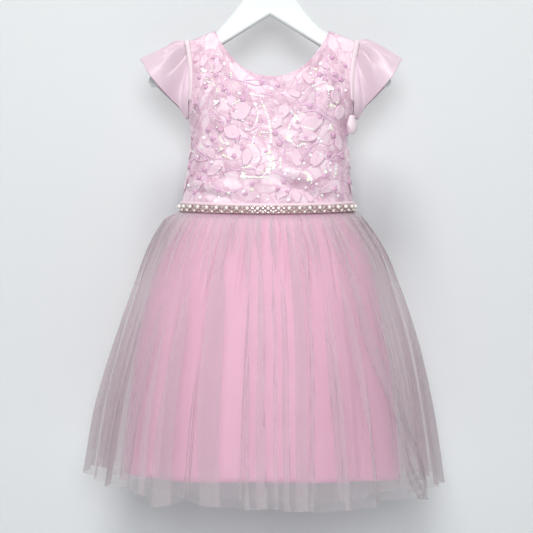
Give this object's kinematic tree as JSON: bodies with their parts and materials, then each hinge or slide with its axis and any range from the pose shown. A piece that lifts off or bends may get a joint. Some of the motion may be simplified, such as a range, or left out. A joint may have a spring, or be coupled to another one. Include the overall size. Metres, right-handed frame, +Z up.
{
  "type": "toddler party dress on hanger",
  "caption": "Toddler party dress with satin cap sleeves, embroidered net bodice, pearl waist trim and gathered tulle skirt over a lining, hanging on a flat child's hanger.",
  "frame": {"origin": "inside top of the hanger's hook, where a rod carries it", "axes": "+Z up, -Y out of the front of the dress, +X to the right as the front is looked at"},
  "size_m": [0.4615, 0.2966, 0.7287],
  "materials": {
    "embroidered_net": "pale pink satin under sheer net with corded vines, organza petals and sequins",
    "satin": "pale pink satin, soft sheen",
    "tulle": "sheer soft tulle, matt",
    "lining": "opaque pink lining, slight sheen",
    "pearl_trim": "imitation pearls and small clear stones on a narrow band",
    "white_paint": "white satin paint on wood",
    "steel": "bright steel wire"
  },
  "bodies": {
    "root": {"bodice_front": "embroidered_net", "bodice_back_left": "embroidered_net", "bodice_back_right": "embroidered_net", "sleeve_left": "satin", "sleeve_right": "satin", "armhole_binding_left": "satin", "armhole_binding_right": "satin", "belt_band": "pearl_trim", "tulle_front": "tulle", "tulle_back": "tulle", "lining_front": "lining", "lining_back": "lining", "hanger_body": "white_paint", "hanger_hook": "steel"}
  },
  "joints": []
}
